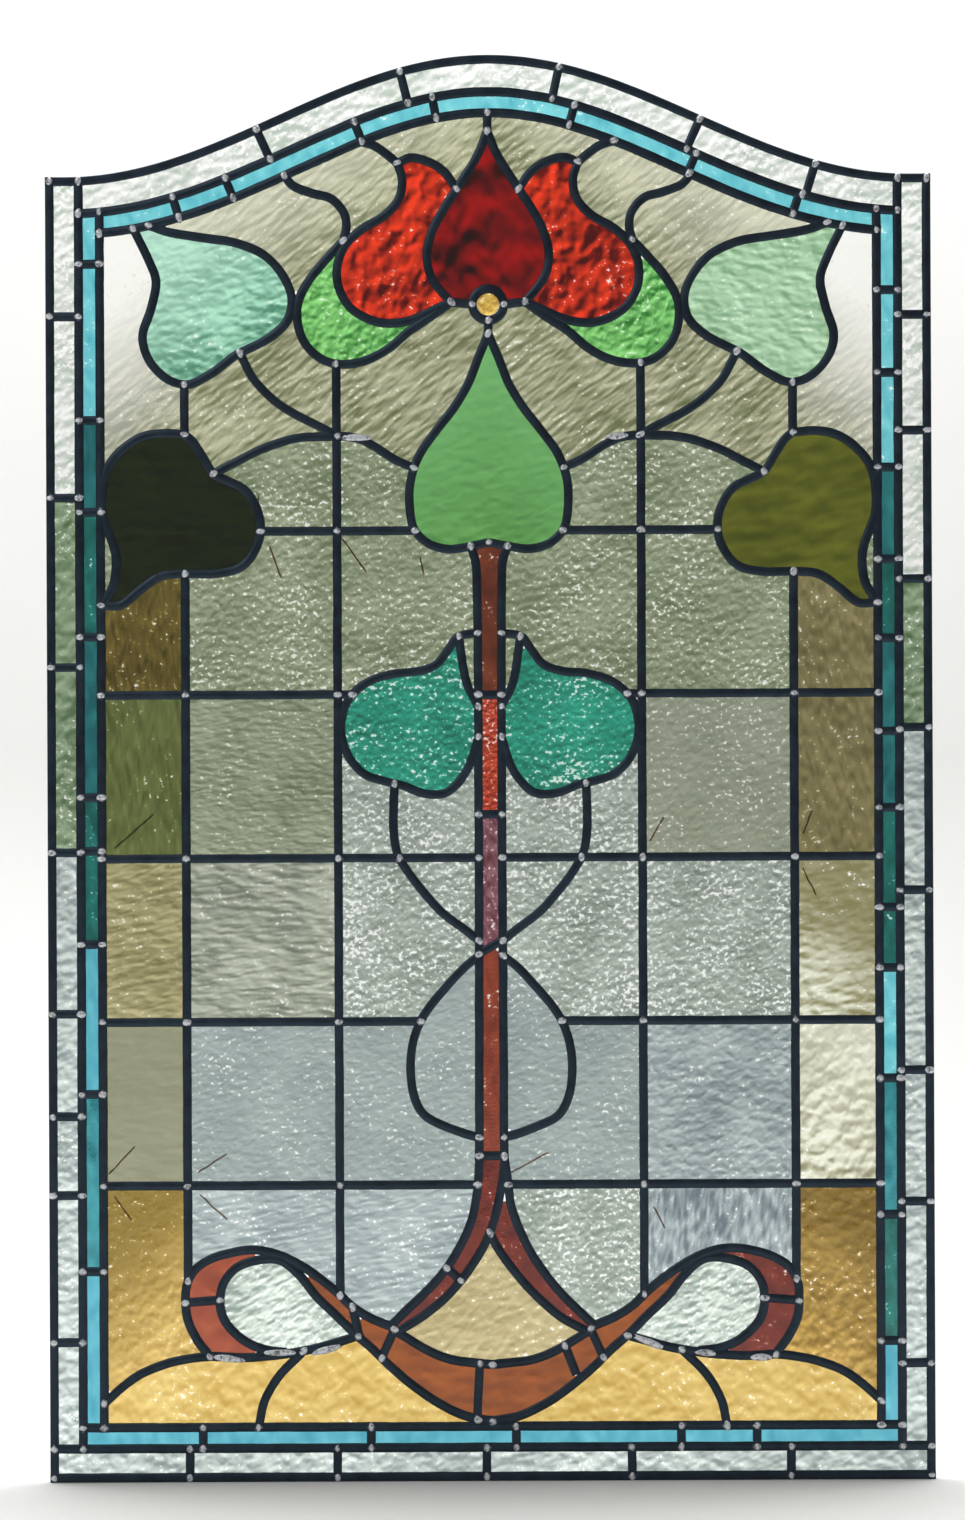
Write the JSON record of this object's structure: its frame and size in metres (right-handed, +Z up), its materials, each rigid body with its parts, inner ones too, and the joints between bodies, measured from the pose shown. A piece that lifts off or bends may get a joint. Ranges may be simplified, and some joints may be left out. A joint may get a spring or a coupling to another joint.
{
  "type": "stained glass window",
  "caption": "Leaded stained glass panel with an eyebrow-arched top, a red flower on a stem over a ribbon, and blue and clear borders.",
  "frame": {"origin": "middle of the bottom edge, half way through the panel's depth", "axes": "+Z up the panel, -Y out of its front face, +X to the right seen from the front"},
  "size_m": [0.61, 0.0077, 0.982],
  "materials": {
    "lead_came": "dull dark patina on lead, with brighter solder joints",
    "clear_glass": "clear rippled and seedy cathedral glass",
    "olive_glass": "olive and straw tinted rippled glass",
    "turquoise_glass": "turquoise cathedral glass in several shades",
    "ruby_glass": "mottled ruby glass",
    "green_glass": "mottled green glass",
    "mint_glass": "pale mint rippled glass",
    "dark_olive_glass": "dark olive green glass",
    "teal_glass": "teal seedy glass",
    "brown_glass": "reddish brown streaky glass",
    "rust_glass": "rust brown streaky glass",
    "amber_glass": "hammered amber glass",
    "gold_glass": "pressed gold glass jewel"
  },
  "bodies": {
    "root": {"amber_centre": "amber_glass", "amber_corner_left": "amber_glass", "amber_corner_right": "amber_glass", "amber_ground_left": "amber_glass", "amber_ground_right": "amber_glass", "blue_border_arch": "turquoise_glass", "blue_border_foot": "turquoise_glass", "blue_border_left": "turquoise_glass", "blue_border_right": "turquoise_glass", "clear_border_arch": "clear_glass", "clear_border_foot": "clear_glass", "clear_border_left": "clear_glass", "clear_border_right": "clear_glass", "heart_leaf": "green_glass", "inner_column_left": "clear_glass", "inner_column_right": "clear_glass", "inner_upper_pane_left": "clear_glass", "inner_upper_pane_right": "clear_glass", "inner_wedge_left": "clear_glass", "inner_wedge_right": "clear_glass", "jewel": "gold_glass", "lead_came_net": "lead_came", "lower_leaf_left": "teal_glass", "lower_leaf_right": "teal_glass", "outer_column_left": "clear_glass", "outer_column_right": "clear_glass", "pane_beside_heart_left": "olive_glass", "pane_beside_heart_right": "olive_glass", "pane_over_curl_left": "olive_glass", "pane_over_curl_right": "olive_glass", "pane_under_curl_left": "olive_glass", "pane_under_curl_right": "olive_glass", "petal_centre": "ruby_glass", "petal_left": "ruby_glass", "petal_right": "ruby_glass", "ribbon_bow": "rust_glass", "ribbon_loop_left": "brown_glass", "ribbon_loop_right": "brown_glass", "sepal_left": "green_glass", "sepal_right": "green_glass", "side_column_left": "olive_glass", "side_column_right": "olive_glass", "side_leaf_left": "dark_olive_glass", "side_leaf_right": "dark_olive_glass", "side_top_pane_left": "olive_glass", "side_top_pane_right": "olive_glass", "stem": "brown_glass", "stem_branch": "brown_glass", "stem_loop_pane_left": "clear_glass", "stem_loop_pane_right": "clear_glass", "teardrop_left": "clear_glass", "teardrop_right": "clear_glass", "top_inner_pane_left": "clear_glass", "top_inner_pane_right": "clear_glass", "top_middle_pane_left": "clear_glass", "top_middle_pane_right": "clear_glass", "top_outer_pane_left": "clear_glass", "top_outer_pane_right": "clear_glass", "upper_leaf_left": "mint_glass", "upper_leaf_right": "mint_glass"}
  },
  "joints": []
}
